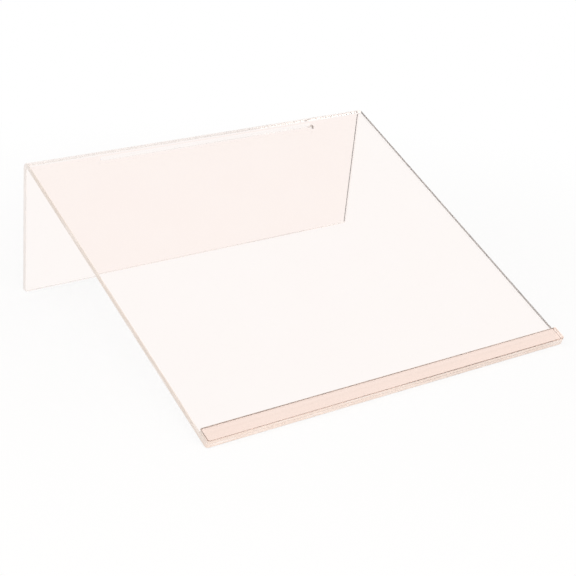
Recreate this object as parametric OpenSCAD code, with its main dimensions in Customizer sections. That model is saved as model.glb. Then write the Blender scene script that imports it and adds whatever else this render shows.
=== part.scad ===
// Clear acrylic writing slope: one heat-bent sheet with a routed pencil groove and a bonded book ledge.
// X runs along the width, -Y faces the writer and Z is up. The origin is the centre of the footprint on the desk.

/* [Sheet] */
// Width of the slope from side to side
sheet_w = 340; // [240:1:460]
// Thickness of the acrylic sheet
sheet_t = 5; // [4:0.5:8]
// Length of the writing panel, from its front edge to the sharp corner that the bend rounds off
panel_l = 323; // [220:1:420]
// Angle of the writing panel above the desk, in degrees
panel_angle = 21.9; // [12:0.1:30]
// Lean of the rear leg, foot behind top, in degrees from upright
leg_splay = 5.6; // [0:0.1:15]
// Radius inside the bend
bend_r = 2.5; // [1.5:0.5:12]
// Radius of the sheet's four free corners
corner_r = 2; // [0.5:0.5:8]
// Width of the flat dressed along the panel's lower front edge, where it meets the desk
seat_w = 3; // [1:0.5:5]

/* [Pencil groove] */
// Length of the groove from end to end
groove_l = 217; // [100:1:230]
// Width of the groove at the panel's face
groove_w = 9; // [7:0.5:12]
// Depth of the groove below the panel's face
groove_d = 3; // [1.5:0.1:3.5]
// Flat left between the groove and the start of the bend
groove_gap = 4; // [2:0.5:40]

/* [Front ledge] */
// Width of the ledge up the panel, from the front edge
ledge_w = 13; // [8:0.5:30]
// Height of the ledge above the panel's face
ledge_h = 4; // [2:0.5:10]
// Radius of the ledge's two upper edges
ledge_edge_r = 0.8; // [0.2:0.1:1]

/* [Hidden] */
$fn = 96;
clear_tint = [0.93, 0.9, 0.88, 0.4];
ledge_tint = [0.9, 0.86, 0.83, 0.5];
// How far a cutting shape passes through what it cuts
overcut = 1;
// How far the bend's rounds reach past its flats, so that they cross instead of touching
round_lap = 0.001;
// Angle by which the bend's rounds run on inside the flats
round_tuck = 10;

// Bend: the angle that the sheet turns through, its outer radius and the flat panel that it leaves
bend_turn = 90 + panel_angle - leg_splay;
bend_outer_r = bend_r + sheet_t;
panel_flat = panel_l - bend_outer_r * tan(bend_turn / 2);

// Drop of the panel's lower front edge below the desk before its seat is dressed flat
seat_drop = seat_w * sin(panel_angle) * cos(panel_angle);

// Axis of the bend, measured back from the front edge and up from the desk
bend_y = panel_flat * cos(panel_angle) + bend_r * sin(panel_angle);
bend_z = panel_flat * sin(panel_angle) - bend_r * cos(panel_angle) - seat_drop;
// Rear leg: the run of its outer face down to the heel on the desk, and the length that takes it past the desk
heel_run = (bend_z + bend_outer_r * sin(leg_splay)) / cos(leg_splay);
heel_y = bend_y + bend_outer_r * cos(leg_splay) + heel_run * sin(leg_splay);
leg_l = heel_run + sheet_t;

// Foremost point, on the ledge's rounded upper front edge, and the shift that centres the footprint
brow_z = sheet_t + ledge_h - ledge_edge_r;
brow_y = ledge_edge_r * (cos(panel_angle) - 1) - brow_z * sin(panel_angle);
front_y = -(brow_y + heel_y) / 2;

// Ball-nosed cutter that leaves a groove of this width and depth, and the path that it travels
cutter_r = (pow(groove_w / 2, 2) + pow(groove_d, 2)) / (2 * groove_d);
groove_y = panel_flat - groove_gap - groove_w / 2;
groove_travel = groove_l - groove_w;

// Puts children on the panel: Y runs up the slope from the front edge, Z out of its underside
module on_panel() {
    translate([0, front_y, -seat_drop]) rotate([panel_angle, 0, 0]) children();
}

// Extrudes a section, drawn up the panel and out of its underside, over the whole width
module across() {
    translate([-sheet_w / 2, 0, 0]) rotate([90, 0, 90]) linear_extrude(sheet_w) children();
}

// Waste between a square corner at the origin and its rounding
module corner_waste(r) {
    difference() {
        translate([-overcut, -overcut]) square(r + overcut);
        translate([r, r]) circle(r);
    }
}

// Waste at the left and right corners of an edge of the sheet, over a depth along Z
module edge_corner_waste(depth) {
    for (side = [0, 1]) mirror([side, 0, 0]) translate([-sheet_w / 2, 0, -overcut])
        linear_extrude(depth + 2 * overcut) corner_waste(corner_r);
}

// Section of a block round the bend's axis, as far out as reach: the panel's side, the leg's side and the round
module bend_block(reach, over) {
    steps = 3;
    sweep = bend_turn + 2 * round_tuck;
    translate([-panel_flat - over, -over]) square([panel_flat + over, reach + over]);
    rotate(-bend_turn) translate([0, -over]) square([leg_l + over, reach + over]);
    intersection() {
        circle(reach + round_lap);
        polygon([[0, 0], for (i = [0 : steps]) let (a = 90 + round_tuck - sweep * i / steps)
            2 * reach * [cos(a), sin(a)]]);
    }
}

// Section of the bent sheet: a block out to its outer face, less a block out to its inner face
module sheet_section() {
    translate([panel_flat, -bend_r]) difference() {
        bend_block(bend_outer_r, 0);
        bend_block(bend_r, overcut);
    }
}

// Path of the ball-nosed cutter along the groove
module groove_cut() {
    translate([0, groove_y, sheet_t - groove_d + cutter_r]) {
        rotate([0, 90, 0]) cylinder(r = cutter_r, h = groove_travel, center = true);
        for (side = [-1, 1]) translate([side * groove_travel / 2, 0, 0]) sphere(cutter_r);
    }
}

// Everything below the desk, from in front of the sheet to behind it
module below_desk() {
    depth = 2 * heel_y;
    drop = 4 * sheet_t;
    translate([-sheet_w, -depth / 2, -drop]) cube([2 * sheet_w, depth, drop]);
}

// Bent sheet: writing panel, bend and rear leg in one piece
module slope_sheet() {
    color(clear_tint) difference() {
        on_panel() across() sheet_section();
        on_panel() groove_cut();
        on_panel() edge_corner_waste(sheet_t);
        below_desk();
        translate([0, front_y + heel_y, 0]) rotate([90, 0, 0]) edge_corner_waste(2 * sheet_t);
    }
}

// Section of the ledge: flat underneath, with its two upper edges rounded
module ledge_section() {
    difference() {
        square([ledge_w, ledge_h]);
        translate([0, ledge_h]) mirror([0, 1]) corner_waste(ledge_edge_r);
        translate([ledge_w, ledge_h]) rotate(180) corner_waste(ledge_edge_r);
    }
}

// Bonded strip along the front edge of the panel that stops a book
module front_ledge() {
    color(ledge_tint) on_panel() translate([0, 0, sheet_t]) difference() {
        across() ledge_section();
        edge_corner_waste(ledge_h);
    }
}

slope_sheet();
front_ledge();
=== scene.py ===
import math

import bmesh
import bpy
from mathutils import Matrix, Vector


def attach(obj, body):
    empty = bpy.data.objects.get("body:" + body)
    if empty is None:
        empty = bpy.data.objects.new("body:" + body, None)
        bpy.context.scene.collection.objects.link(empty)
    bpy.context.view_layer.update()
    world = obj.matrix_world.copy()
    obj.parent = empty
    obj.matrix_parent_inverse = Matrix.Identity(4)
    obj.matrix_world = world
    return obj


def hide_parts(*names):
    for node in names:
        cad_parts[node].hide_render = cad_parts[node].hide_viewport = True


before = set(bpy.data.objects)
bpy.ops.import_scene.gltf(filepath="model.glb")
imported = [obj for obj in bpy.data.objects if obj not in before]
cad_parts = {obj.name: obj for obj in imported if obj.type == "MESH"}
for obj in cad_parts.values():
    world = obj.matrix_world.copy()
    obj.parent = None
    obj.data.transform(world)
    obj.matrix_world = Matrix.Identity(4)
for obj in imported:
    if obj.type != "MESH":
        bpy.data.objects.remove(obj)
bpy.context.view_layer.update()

# Sizes of the writing slope in metres, the same as the part's source gives them
SHEET_W = 0.340
SHEET_T = 0.005
PANEL_L = 0.323
PANEL_ANGLE = math.radians(21.9)
LEG_SPLAY = math.radians(5.6)
BEND_R = 0.0025
CORNER_R = 0.002
SEAT_W = 0.003
GROOVE_L = 0.217
GROOVE_W = 0.009
GROOVE_D = 0.003
GROOVE_GAP = 0.004
LEDGE_W = 0.013
LEDGE_H = 0.004
LEDGE_EDGE_R = 0.0008

# Sizes that only the eye needs: eased edges, and how far the ledge sinks into its bond
ARRIS_R = 0.0005
LEDGE_BACK_R = 0.001
BOND_ARRIS_R = 0.0003
BOND_SINK = 0.00005

# Steps in each round
BEND_STEPS = 36
CORNER_STEPS = 8
ARRIS_STEPS = 3
LEDGE_EDGE_STEPS = 6
RIM_STEPS = 4
GROOVE_STEPS = 14

# The groove's outline: its steps and its first cut, and the angle where the round of its floor stops
OUTLINE_STEPS = 64
OUTLINE_CUT = 0.0002
GROOVE_LAST = math.radians(5)

# What counts as touching, as one point, as a sharp edge, as one smooth surface, as facing and as leaning
NEAR = 1e-5
SAME_POINT = 1e-6
SHARP_ANGLE = math.radians(30)
SMOOTH_ANGLE = math.radians(40)
FACING = 0.5
LEANING = 0.05

# Weight that keeps large flat faces flat beside their rounds
FLAT_WEIGHT = 100

# Finishes of a piece, in the order of its material slots, and a round that takes the finish beside it
CLEAR = 0
SAWN = 1
AS_BESIDE = -1

# The bend, the seat and the groove, worked out as in the part's source
BEND_TURN = math.pi / 2 + PANEL_ANGLE - LEG_SPLAY
BEND_OUTER_R = BEND_R + SHEET_T
PANEL_FLAT = PANEL_L - BEND_OUTER_R * math.tan(BEND_TURN / 2)
SEAT_DROP = SEAT_W * math.sin(PANEL_ANGLE) * math.cos(PANEL_ANGLE)
BEND_Y = PANEL_FLAT * math.cos(PANEL_ANGLE) + BEND_R * math.sin(PANEL_ANGLE)
BEND_Z = PANEL_FLAT * math.sin(PANEL_ANGLE) - BEND_R * math.cos(PANEL_ANGLE) - SEAT_DROP
HEEL_RUN = (BEND_Z + BEND_OUTER_R * math.sin(LEG_SPLAY)) / math.cos(LEG_SPLAY)
HEEL_Y = BEND_Y + BEND_OUTER_R * math.cos(LEG_SPLAY) + HEEL_RUN * math.sin(LEG_SPLAY)
LEG_L = HEEL_RUN + SHEET_T
BROW_UP = SHEET_T + LEDGE_H - LEDGE_EDGE_R
BROW_Y = LEDGE_EDGE_R * (math.cos(PANEL_ANGLE) - 1) - BROW_UP * math.sin(PANEL_ANGLE)
FRONT_Y = -(BROW_Y + HEEL_Y) / 2
CUTTER_R = ((GROOVE_W / 2) ** 2 + GROOVE_D ** 2) / (2 * GROOVE_D)
GROOVE_UP = PANEL_FLAT - GROOVE_GAP - GROOVE_W / 2
GROOVE_TRAVEL = GROOVE_L - GROOVE_W

# Directions of the desk, of the panel and of the rear leg
ACROSS = Vector((1, 0, 0))
BACKWARDS = Vector((0, 1, 0))
UPWARDS = Vector((0, 0, 1))
UP_SLOPE = Vector((0, math.cos(PANEL_ANGLE), math.sin(PANEL_ANGLE)))
OUT_OF_PANEL = Vector((0, -math.sin(PANEL_ANGLE), math.cos(PANEL_ANGLE)))
DOWN_LEG = Vector((0, math.sin(LEG_SPLAY), -math.cos(LEG_SPLAY)))
OUT_OF_LEG = Vector((0, math.cos(LEG_SPLAY), math.sin(LEG_SPLAY)))
FRONT_EDGE = Vector((0, FRONT_Y, -SEAT_DROP))
BEND_AXIS = Vector((0, FRONT_Y + BEND_Y, BEND_Z))


def on_panel(x, up, out):
    """A point across the panel, up its slope from the front edge and out of its underside."""
    return FRONT_EDGE + ACROSS * x + UP_SLOPE * up + OUT_OF_PANEL * out


def panel_place(point):
    """How far up the slope and out of the panel's underside a point lies."""
    offset = point - FRONT_EDGE
    return offset.dot(UP_SLOPE), offset.dot(OUT_OF_PANEL)


def leg_place(point):
    """How far a point lies behind the bend's axis, square to the leg."""
    return (point - BEND_AXIS).dot(OUT_OF_LEG)


# Modelling by hand

def deselect_objects():
    bpy.ops.object.select_all(action="DESELECT")


def begin(name, finishes=()):
    """Names the new primitive, gives it its finishes, applies its place and size and opens it to edit."""
    piece = bpy.context.object
    piece.name = name
    piece.data.name = name
    for finish in finishes:
        piece.data.materials.append(finish)
    bpy.ops.object.transform_apply(location=True, rotation=True, scale=True)
    bpy.ops.object.mode_set(mode="EDIT")
    return piece


def pick(piece, kind, test):
    """Selects those of the piece's faces or edges that pass the test, and nothing else."""
    bpy.ops.mesh.select_mode(type="FACE" if kind == "faces" else "EDGE")
    bpy.ops.mesh.select_all(action="DESELECT")
    shape = bmesh.from_edit_mesh(piece.data)
    for item in getattr(shape, kind):
        if test(item):
            item.select_set(True)
    shape.select_flush_mode()
    bmesh.update_edit_mesh(piece.data)


def middle(edge):
    return (edge.verts[0].co + edge.verts[1].co) / 2


def along(edge, direction):
    """True if the edge runs along the direction."""
    run = (edge.verts[1].co - edge.verts[0].co).normalized()
    return abs(run.dot(direction)) > 1 - NEAR


def is_arris(edge):
    """True at a sharp edge between two faces."""
    return len(edge.link_faces) == 2 and edge.calc_face_angle() > SHARP_ANGLE


def looks_along(face, direction):
    """True if the face looks more or less along the direction, or against it."""
    return abs(face.normal.dot(direction)) > FACING


def upright_at(up):
    """Test for edges square to the panel, this far up its slope."""
    return lambda edge: along(edge, OUT_OF_PANEL) and abs(panel_place(middle(edge))[0] - up) < NEAR


def round_picked(radius, steps, finish=AS_BESIDE):
    """Rounds the picked edges and gives the round a finish."""
    bpy.ops.mesh.bevel(
        offset=radius,
        offset_type="OFFSET",
        segments=steps,
        affect="EDGES",
        clamp_overlap=False,
        material=finish,
    )


def give_finish(piece, finish):
    """Gives the picked faces one of the piece's finishes."""
    piece.active_material_index = finish
    bpy.ops.object.material_slot_assign()


def close_up():
    """Merges doubles, turns all faces outwards and leaves edit mode."""
    bpy.ops.mesh.select_all(action="SELECT")
    bpy.ops.mesh.remove_doubles(threshold=SAME_POINT)
    bpy.ops.mesh.normals_make_consistent(inside=False)
    bpy.ops.object.mode_set(mode="OBJECT")


def make_active(piece):
    """Selects the piece and nothing else, for the next operator."""
    deselect_objects()
    piece.select_set(True)
    bpy.context.view_layer.objects.active = piece


def polish(piece):
    """Smooth rounds beside truly flat faces."""
    make_active(piece)
    bpy.ops.object.shade_smooth_by_angle(angle=SMOOTH_ANGLE)
    flats = piece.modifiers.new("flat_faces", "WEIGHTED_NORMAL")
    flats.mode = "FACE_AREA"
    flats.weight = FLAT_WEIGHT
    flats.keep_sharp = True
    bpy.ops.object.modifier_apply(modifier=flats.name)


# The pencil groove

def groove_profile():
    """Half-widths and depths down the groove: the eased rim, then the round of the ball-nosed cutter."""
    over_face = CUTTER_R - GROOVE_D
    reach = CUTTER_R + ARRIS_R
    rim = math.acos((over_face + ARRIS_R) / reach)
    rim_middle = reach * math.sin(rim)
    points = []
    for step in range(RIM_STEPS + 1):
        angle = rim * step / RIM_STEPS
        points.append((rim_middle - ARRIS_R * math.sin(angle), ARRIS_R * (1 - math.cos(angle))))
    for step in range(1, GROOVE_STEPS + 1):
        angle = rim + (GROOVE_LAST - rim) * step / GROOVE_STEPS
        points.append((CUTTER_R * math.sin(angle), CUTTER_R * math.cos(angle) - over_face))
    return points


def groove_outline(half_width):
    """Shallow disc drawn out to the groove's outline, to cut the panel's face with."""
    deselect_objects()
    half_step = Matrix.Rotation(math.pi / OUTLINE_STEPS, 3, "Z")
    bpy.ops.mesh.primitive_cylinder_add(
        vertices=OUTLINE_STEPS,
        radius=half_width,
        depth=2 * OUTLINE_CUT,
        location=on_panel(0, GROOVE_UP, SHEET_T),
        rotation=(Matrix.Rotation(PANEL_ANGLE, 3, "X") @ half_step).to_euler(),
    )
    outline = begin("groove_outline")
    for side in (-1, 1):
        pick(outline, "edges", lambda edge: all(side * corner.co.x > 0 for corner in edge.verts))
        bpy.ops.transform.translate(value=ACROSS * (side * GROOVE_TRAVEL / 2))
    close_up()
    return outline


def groove_floor(face):
    """The flat floor that the outline leaves below the panel's face."""
    up, out = panel_place(face.calc_center_median())
    return abs(up - GROOVE_UP) < GROOVE_W / 2 and abs(out - SHEET_T + OUTLINE_CUT) < NEAR


def rout_groove(sheet):
    """Cuts the groove's outline into the panel's face, then sinks it step by step along its profile."""
    profile = groove_profile()
    outline = groove_outline(profile[0][0])
    make_active(sheet)
    cut = sheet.modifiers.new("groove_outline", "BOOLEAN")
    cut.operation = "DIFFERENCE"
    cut.solver = "EXACT"
    cut.object = outline
    bpy.ops.object.modifier_apply(modifier=cut.name)
    bpy.data.objects.remove(outline)

    bpy.ops.object.mode_set(mode="EDIT")
    pick(sheet, "faces", groove_floor)
    bpy.ops.transform.translate(value=OUT_OF_PANEL * OUTLINE_CUT)
    for (width, depth), (next_width, next_depth) in zip(profile, profile[1:]):
        bpy.ops.mesh.inset(thickness=width - next_width, depth=depth - next_depth, use_even_offset=True)
    close_up()


# The bent sheet

def sawn_face(face):
    """Sawn edges: the front and both sides, apart from the right side's polished leg and ledge end."""
    centre = face.calc_center_median()
    up = panel_place(centre)[0]
    side = abs(centre.x) > SHEET_W / 2 - CORNER_R and looks_along(face, ACROSS)
    polished = centre.x > 0 and (leg_place(centre) > 0 or up < LEDGE_W)
    front = up < CORNER_R and not looks_along(face, OUT_OF_PANEL) and face.normal.x < FACING
    return front or (side and not polished)


def sawn_arris(face):
    """Rounds that are left satin: all along the left side, and behind the leg on the right side, where the
    satin carries painted shade.
    """
    centre = face.calc_center_median()
    outermost = SHEET_W / 2 - ARRIS_R < abs(centre.x) < SHEET_W / 2 - NEAR
    behind_leg = leg_place(centre) > BEND_R + SHEET_T / 2
    return outermost and (centre.x < 0 or behind_leg)


def eased_edge(edge):
    """Sharp edges, apart from those that the ledge is bonded over; at its right end they are eased too."""
    place = middle(edge)
    up, out = panel_place(place)
    bonded = up < LEDGE_W + NEAR and abs(out - SHEET_T) < NEAR and place.x < SHEET_W / 2 - NEAR
    return is_arris(edge) and not bonded


def foot_end(edge):
    """The two ends of the leg's foot."""
    place = middle(edge)
    return abs(place.z) < NEAR and place.y > 0 and along(edge, BACKWARDS)


def make_slope_sheet(finishes):
    """Writing panel, bend and rear leg, drawn out of the panel's front end and bent as one sheet."""
    deselect_objects()
    bpy.ops.mesh.primitive_plane_add(
        size=1, location=on_panel(0, 0, SHEET_T / 2), rotation=(PANEL_ANGLE + math.pi / 2, 0, 0)
    )
    bpy.context.object.scale = (SHEET_W, SHEET_T, 1)
    sheet = begin("bent_sheet", finishes)
    bpy.ops.mesh.select_all(action="SELECT")
    bpy.ops.mesh.extrude_region_move(TRANSFORM_OT_translate={"value": UP_SLOPE * PANEL_FLAT})
    bpy.ops.mesh.spin(steps=BEND_STEPS, angle=BEND_TURN, center=BEND_AXIS, axis=ACROSS)
    bpy.ops.mesh.extrude_region_move(TRANSFORM_OT_translate={"value": DOWN_LEG * LEG_L})

    # Front corners, before the desk trims them
    pick(sheet, "edges", upright_at(0))
    round_picked(CORNER_R, CORNER_STEPS)

    # The seat along the front edge and the foot of the leg are dressed flat to the desk
    bpy.ops.mesh.select_all(action="SELECT")
    bpy.ops.mesh.bisect(plane_co=(0, 0, 0), plane_no=UPWARDS, use_fill=True, clear_inner=True)

    # Corners of the leg's foot
    pick(sheet, "edges", foot_end)
    round_picked(CORNER_R, CORNER_STEPS)

    # A line across the panel behind the ledge, where the bonded edges end
    bpy.ops.mesh.select_all(action="SELECT")
    bpy.ops.mesh.bisect(plane_co=on_panel(0, LEDGE_W, 0), plane_no=UP_SLOPE)
    close_up()

    rout_groove(sheet)

    bpy.ops.object.mode_set(mode="EDIT")
    pick(sheet, "faces", sawn_face)
    give_finish(sheet, SAWN)
    pick(sheet, "edges", eased_edge)
    round_picked(ARRIS_R, ARRIS_STEPS, CLEAR)
    pick(sheet, "faces", sawn_arris)
    give_finish(sheet, SAWN)
    close_up()
    polish(sheet)
    return sheet


# The front ledge

def ledge_cut_face(face):
    """The ledge's front, back and left end, which are sawn; its right end is polished."""
    return not looks_along(face, OUT_OF_PANEL) and face.normal.x < NEAR


def ledge_top_edge(edge):
    """Edges round the ledge's top."""
    return is_arris(edge) and panel_place(middle(edge))[1] > SHEET_T + LEDGE_H - NEAR


def right_end_round(face):
    """The round over the right end's upper edge, which is left satin."""
    return face.normal.dot(OUT_OF_PANEL) > NEAR and face.normal.x > LEANING


def seam_edge(edge):
    """Lower edges at the front and at the right end, which show the seam."""
    place = middle(edge)
    up, out = panel_place(place)
    shown = up < NEAR or place.x > SHEET_W / 2 - NEAR
    return is_arris(edge) and out < SHEET_T + NEAR and shown


def make_front_ledge(finishes):
    """Strip bonded along the panel's front edge, with rounded corners and upper edges."""
    height = LEDGE_H + BOND_SINK
    deselect_objects()
    bpy.ops.mesh.primitive_cube_add(
        size=1,
        location=on_panel(0, LEDGE_W / 2, SHEET_T - BOND_SINK + height / 2),
        rotation=(PANEL_ANGLE, 0, 0),
    )
    bpy.context.object.scale = (SHEET_W, LEDGE_W, height)
    ledge = begin("bonded_ledge", finishes)
    for up, radius in ((0, CORNER_R), (LEDGE_W, LEDGE_BACK_R)):
        pick(ledge, "edges", upright_at(up))
        round_picked(radius, CORNER_STEPS)
    pick(ledge, "faces", ledge_cut_face)
    give_finish(ledge, SAWN)
    pick(ledge, "edges", ledge_top_edge)
    round_picked(LEDGE_EDGE_R, LEDGE_EDGE_STEPS, CLEAR)
    pick(ledge, "faces", right_end_round)
    give_finish(ledge, SAWN)
    pick(ledge, "edges", seam_edge)
    round_picked(BOND_ARRIS_R, ARRIS_STEPS, CLEAR)
    close_up()
    polish(ledge)
    return ledge


# Shaders

class Signal:
    """A shader socket that takes part in Python sums. Each operator adds a Math node."""

    def __init__(self, tree, socket=None):
        self.tree = tree
        self.socket = socket

    def node(self, kind, settings=None, inputs=None, output=0):
        """Adds a node, sets it up, then gives its inputs their values or links."""
        made = self.tree.nodes.new(kind)
        for name, value in (settings or {}).items():
            if name == "stops":
                ramp = made.color_ramp.elements
                for place, (position, colour) in enumerate(value):
                    stop = ramp[place] if place < len(ramp) else ramp.new(position)
                    stop.position = position
                    stop.color = colour
            else:
                setattr(made, name, value)
        for name, value in (inputs or {}).items():
            if isinstance(value, Signal):
                self.tree.links.new(value.socket, made.inputs[name])
            else:
                made.inputs[name].default_value = value
        return Signal(self.tree, made.outputs[output] if made.outputs else None)

    def maths(self, operation, first, second):
        return self.node("ShaderNodeMath", {"operation": operation}, {0: first, 1: second})

    def __add__(self, other):
        return self.maths("ADD", self, other)

    __radd__ = __add__

    def __sub__(self, other):
        return self.maths("SUBTRACT", self, other)

    def __rsub__(self, other):
        return self.maths("SUBTRACT", other, self)

    def __mul__(self, other):
        return self.maths("MULTIPLY", self, other)

    __rmul__ = __mul__

    def __pow__(self, other):
        return self.maths("POWER", self, other)

    def __rpow__(self, other):
        return self.maths("POWER", other, self)

    def at_most(self, other):
        return self.maths("MINIMUM", self, other)


def blank_material(name):
    material = bpy.data.materials.new(name)
    material.use_nodes = True
    material.node_tree.nodes.clear()
    return material, Signal(material.node_tree)


def noise(tree, place, scale, detail, roughness=0.5):
    """Soft random patches."""
    inputs = {"Vector": place, "Scale": scale, "Detail": detail, "Roughness": roughness}
    return tree.node("ShaderNodeTexNoise", None, inputs)


def blend(tree, factor, first, second, way="MIX"):
    """A colour between two colours."""
    settings = {"data_type": "RGBA", "blend_type": way}
    inputs = {"Factor": factor, "A": first, "B": second}
    return tree.node("ShaderNodeMix", settings, inputs, output="Result")


def fade(tree, value, start, end, low=0.0, high=1.0):
    """Goes softly from low to high as the value goes from start to end."""
    inputs = {"Value": value, "From Min": start, "From Max": end, "To Min": low, "To Max": high}
    return tree.node("ShaderNodeMapRange", {"interpolation_type": "SMOOTHSTEP"}, inputs)


# Acrylic: its tints, the scales of its faint patterns and how much each pattern does
ACRYLIC_IOR = 1.49
LONG_PATH_TINT = (0.94, 0.91, 0.89, 1)
LONG_PATH_DENSITY = 5.0
SHEET_TINT = (0.99, 0.935, 0.91, 1)
SHEET_PALE_TINT = (1.0, 0.955, 0.935, 1)
# The ledge's warm tints are partly its own deeper tint and partly painted warm reflection and shade
LEDGE_TINT_AND_PAINTED_WARM_REFLECTION = (0.955, 0.815, 0.745, 1)
LEDGE_PALE_TINT_AND_PAINTED_WARM_REFLECTION = (0.97, 0.84, 0.775, 1)
HAZE_SCALE = 22.0
WAVE_SCALE = 14.0
WIPE_TURN = (0.3, 0.2, 0.5)
WIPE_SCALE = (900, 12, 12)
HAIRLINE_SHARPNESS = 6
HAIRLINE_HEIGHT = 0.05
WAVE_STRENGTH = 0.03
WAVE_HEIGHT = 0.0005
POLISHED_ROUGHNESS = 0.01
HAZE_ROUGHNESS = 0.02
HAIRLINE_ROUGHNESS = 0.2


def long_path(tree):
    """What the acrylic takes from light on its way through."""
    inputs = {"Color": LONG_PATH_TINT, "Density": LONG_PATH_DENSITY}
    return tree.node("ShaderNodeVolumeAbsorption", None, inputs)


def acrylic(name, tint, pale_tint):
    """Clear cast acrylic with faint haze, hairlines from wiping and a warm tint along long paths."""
    material, tree = blank_material(name)
    place = tree.node("ShaderNodeTexCoord", output="Object")
    haze = noise(tree, place, HAZE_SCALE, detail=4.0, roughness=0.6)
    wiped = tree.node(
        "ShaderNodeMapping", None, {"Vector": place, "Rotation": WIPE_TURN, "Scale": WIPE_SCALE}
    )
    hairline = noise(tree, wiped, scale=1.0, detail=2.0) ** HAIRLINE_SHARPNESS
    wave = noise(tree, place, WAVE_SCALE, detail=1.0)
    height = wave + hairline * HAIRLINE_HEIGHT
    bump = tree.node(
        "ShaderNodeBump", None, {"Strength": WAVE_STRENGTH, "Distance": WAVE_HEIGHT, "Height": height}
    )
    surface = tree.node(
        "ShaderNodeBsdfPrincipled",
        None,
        {
            "Base Color": blend(tree, haze, tint, pale_tint),
            "Roughness": POLISHED_ROUGHNESS + haze * HAZE_ROUGHNESS + hairline * HAIRLINE_ROUGHNESS,
            "IOR": ACRYLIC_IOR,
            "Transmission Weight": 1.0,
            "Normal": bump,
        },
    )
    tree.node("ShaderNodeOutputMaterial", None, {"Surface": surface, "Volume": long_path(tree)})
    return material


# Satin of the cut edges: tones by the share of the way from the front, 0, to the foot of the leg, 1
PER_DEPTH = 1 / (2 * abs(FRONT_Y))
EDGE_TONES = [
    (0.0, (0.95, 0.815, 0.735, 1)),
    (0.02, (0.86, 0.765, 0.695, 1)),
    (0.9, (0.86, 0.77, 0.70, 1)),
    (0.97, (0.96, 0.925, 0.905, 1)),
]
# Darker tones for the right side: painted shade, from a pale tone at the front to the darkest shade on the
# leg
RIGHT_EDGE_PAINTED_SHADE = [
    (0.03, (0.95, 0.83, 0.75, 1)),
    (0.06, (0.58, 0.54, 0.52, 1)),
    (0.9, (0.58, 0.54, 0.52, 1)),
    (0.96, (0.20, 0.18, 0.17, 1)),
]

# The right side's painted shade is full this far in from it, and fades out over as much again
RIGHT_EDGE_FADE = 0.0006
RIGHT_EDGE_FULL = SHEET_W / 2 - RIGHT_EDGE_FADE
RIGHT_EDGE_STARTS = RIGHT_EDGE_FULL - RIGHT_EDGE_FADE

# Grain, clouds and lengthwise streaks of the satin, the streaks lightened as painted highlights, its
# roughness and how clear it still is
GRAIN_SCALE = 900.0
GRAIN_STRENGTH = 0.05
GRAIN_HEIGHT = 0.0002
CLOUD_SCALE = 60.0
CLOUD_TONE = (0.5, 0.4, 0.35, 1)
CLOUD_SHARE = 0.08
STREAK_SIZE = (0.03, 0.03, 0.0016)
STREAK_HIGHLIGHT_TONE = (1.0, 0.93, 0.89, 1)
STREAK_HIGHLIGHT_SHARE = 0.8
STREAK_STARTS = 0.5
STREAK_FULL = 0.68
SATIN_ROUGHNESS = 0.3
CLOUD_ROUGHNESS = 0.15
SATIN_CLARITY = 0.18


def sawn_edge():
    """Cut edge, sawn and dressed to a pale satin, with lengthwise streaks lightened as painted highlights
    and painted shade on the right side.
    """
    material, tree = blank_material("satin_edge")
    place = tree.node("ShaderNodeTexCoord", output="Object")
    across = tree.node("ShaderNodeSeparateXYZ", None, {0: place}, output="X")
    depth = tree.node("ShaderNodeSeparateXYZ", None, {0: place}, output="Y")
    back = (depth - FRONT_Y) * PER_DEPTH
    # Mask of the right side, where the painted shade is laid
    right = fade(tree, across, RIGHT_EDGE_STARTS, RIGHT_EDGE_FULL)

    tones = tree.node("ShaderNodeValToRGB", {"stops": EDGE_TONES}, {"Fac": back})
    cloud = noise(tree, place, CLOUD_SCALE, detail=3.0)
    clouded = blend(tree, cloud * CLOUD_SHARE, tones, CLOUD_TONE, "MULTIPLY")
    lengthwise = tree.node(
        "ShaderNodeMapping",
        {"vector_type": "TEXTURE"},
        {"Vector": place, "Rotation": (PANEL_ANGLE, 0, 0), "Scale": STREAK_SIZE},
    )
    streak = noise(tree, lengthwise, scale=1.0, detail=2.0)
    # Lightened streaks: painted highlights along the cut edge
    painted_highlight = fade(tree, streak, STREAK_STARTS, STREAK_FULL, high=STREAK_HIGHLIGHT_SHARE)
    with_painted_highlight = blend(tree, painted_highlight, clouded, STREAK_HIGHLIGHT_TONE)
    # Painted shade: the darker tones that the right side takes
    right_painted_shade = tree.node("ShaderNodeValToRGB", {"stops": RIGHT_EDGE_PAINTED_SHADE}, {"Fac": back})

    grain = noise(tree, place, GRAIN_SCALE, detail=3.0)
    bump = tree.node(
        "ShaderNodeBump", None, {"Strength": GRAIN_STRENGTH, "Distance": GRAIN_HEIGHT, "Height": grain}
    )
    surface = tree.node(
        "ShaderNodeBsdfPrincipled",
        None,
        {
            "Base Color": blend(tree, right, with_painted_highlight, right_painted_shade),
            "Roughness": SATIN_ROUGHNESS + cloud * CLOUD_ROUGHNESS,
            "IOR": ACRYLIC_IOR,
            "Transmission Weight": SATIN_CLARITY,
            "Normal": bump,
        },
    )
    tree.node("ShaderNodeOutputMaterial", None, {"Surface": surface, "Volume": long_path(tree)})
    return material


# The part
satin = sawn_edge()
sheet_clear = acrylic("clear_sheet", SHEET_TINT, SHEET_PALE_TINT)
ledge_clear = acrylic("clear_ledge", LEDGE_TINT_AND_PAINTED_WARM_REFLECTION, LEDGE_PALE_TINT_AND_PAINTED_WARM_REFLECTION)

sheet = make_slope_sheet([sheet_clear, satin])
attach(sheet, "root")
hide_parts("slope_sheet")

ledge = make_front_ledge([ledge_clear, satin])
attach(ledge, "root")
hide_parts("front_ledge")

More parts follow.
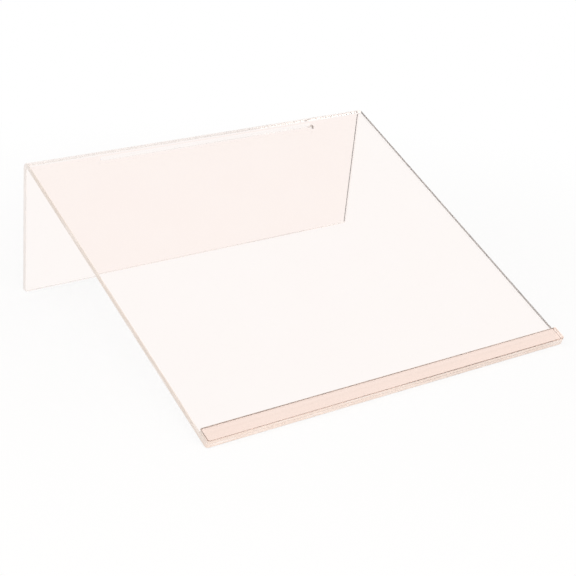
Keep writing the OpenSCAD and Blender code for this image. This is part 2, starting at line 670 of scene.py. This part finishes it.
# The studio: a floor that is nearly white round the part and white further off, soft lamps and an even sky
WHITE = (1, 1, 1, 1)
FLOOR_SIZE = 8
FLOOR_DROP = 0.0002
FLOOR_COLOUR = (0.92, 0.91, 0.90, 1)
NEAR_WHITENESS = 0.84
SHADOW_FADES = 0.25
SHADOW_ENDS = 0.6
SKY_COLOUR = (1, 0.98, 0.97, 1)
SKY_STRENGTH = 0.7
LAMP_COLOUR = (1, 0.97, 0.94)


def background_rays(tree, whiteness):
    """Share of white in what is seen straight or by way of the clear pieces, and none in lighting."""
    camera = tree.node("ShaderNodeLightPath", output="Is Camera Ray")
    glossy = tree.node("ShaderNodeLightPath", output="Is Glossy Ray")
    transmission = tree.node("ShaderNodeLightPath", output="Is Transmission Ray")
    return camera * whiteness + (glossy + transmission).at_most(1.0)


def pale_floor():
    """Matt floor that takes a soft shadow near the part and fades to white away from it."""
    material, tree = blank_material("pale_floor")
    matt = tree.node("ShaderNodeBsdfDiffuse", None, {"Color": FLOOR_COLOUR})
    white = tree.node("ShaderNodeEmission", None, {"Color": WHITE, "Strength": 1.0})
    place = tree.node("ShaderNodeTexCoord", output="Object")
    reach = tree.node("ShaderNodeVectorMath", {"operation": "LENGTH"}, {0: place}, output="Value")
    whiteness = fade(tree, reach, SHADOW_FADES, SHADOW_ENDS, low=NEAR_WHITENESS)
    seen = background_rays(tree, whiteness)
    shown = tree.node("ShaderNodeMixShader", None, {0: seen, 1: matt, 2: white})
    tree.node("ShaderNodeOutputMaterial", None, {"Surface": shown})
    return material


def even_sky():
    """Even light from all round, which the camera sees as white."""
    world = bpy.data.worlds.new("studio")
    world.use_nodes = True
    world.node_tree.nodes.clear()
    sky = Signal(world.node_tree)
    ambient = sky.node("ShaderNodeBackground", None, {"Color": SKY_COLOUR, "Strength": SKY_STRENGTH})
    white = sky.node("ShaderNodeBackground", None, {"Color": WHITE, "Strength": 1.0})
    seen = background_rays(sky, 1.0)
    shown = sky.node("ShaderNodeMixShader", None, {0: seen, 1: ambient, 2: white})
    sky.node("ShaderNodeOutputWorld", None, {"Surface": shown})
    return world


def softbox(name, place, width, height, energy):
    """Soft area lamp that looks at the part."""
    lamp = bpy.data.lights.new(name, "AREA")
    lamp.shape = "RECTANGLE"
    lamp.size = width
    lamp.size_y = height
    lamp.energy = energy
    lamp.color = LAMP_COLOUR
    holder = bpy.data.objects.new(name, lamp)
    holder.location = place
    holder.rotation_euler = (-Vector(place)).to_track_quat("-Z", "Y").to_euler()
    bpy.context.scene.collection.objects.link(holder)


deselect_objects()
bpy.ops.mesh.primitive_plane_add(size=FLOOR_SIZE, location=(0, 0, -FLOOR_DROP))
floor = bpy.context.object
floor.name = "floor"
floor.data.materials.append(pale_floor())

scene = bpy.context.scene
scene.world = even_sky()
softbox("key_softbox", place=(-0.9, -0.5, 1.5), width=2.6, height=2.2, energy=14.0)
softbox("front_softbox", place=(-0.3, -1.7, 0.7), width=2.2, height=1.2, energy=10.0)

# Camera at the photograph's viewing angle
VIEW_AZIMUTH = math.radians(34.705)
VIEW_ELEVATION = math.radians(23.812)
VIEW_ROLL = math.radians(2.439)
VIEW_AIM = Vector((-0.007688, -0.011053, 0.032726))
VIEW_DISTANCE = 1.163629
LENS_MM = 88.064
SENSOR_MM = 36.0

view = bpy.data.cameras.new("view")
view.lens = LENS_MM
view.sensor_width = SENSOR_MM
camera = bpy.data.objects.new("view", view)
turn = Matrix.Rotation(-VIEW_AZIMUTH, 4, "Z") @ Matrix.Rotation(math.pi / 2 - VIEW_ELEVATION, 4, "X")
stand_off = Matrix.Translation((0, 0, VIEW_DISTANCE)) @ Matrix.Rotation(VIEW_ROLL, 4, "Z")
camera.matrix_world = Matrix.Translation(VIEW_AIM) @ turn @ stand_off
scene.collection.objects.link(camera)
scene.camera = camera
scene.view_settings.view_transform = "Standard"

# Light bounces many times inside clear sheet before it leaves at an edge
INNER_BOUNCES = 128
scene.cycles.max_bounces = INNER_BOUNCES
scene.cycles.glossy_bounces = INNER_BOUNCES
scene.cycles.transmission_bounces = INNER_BOUNCES
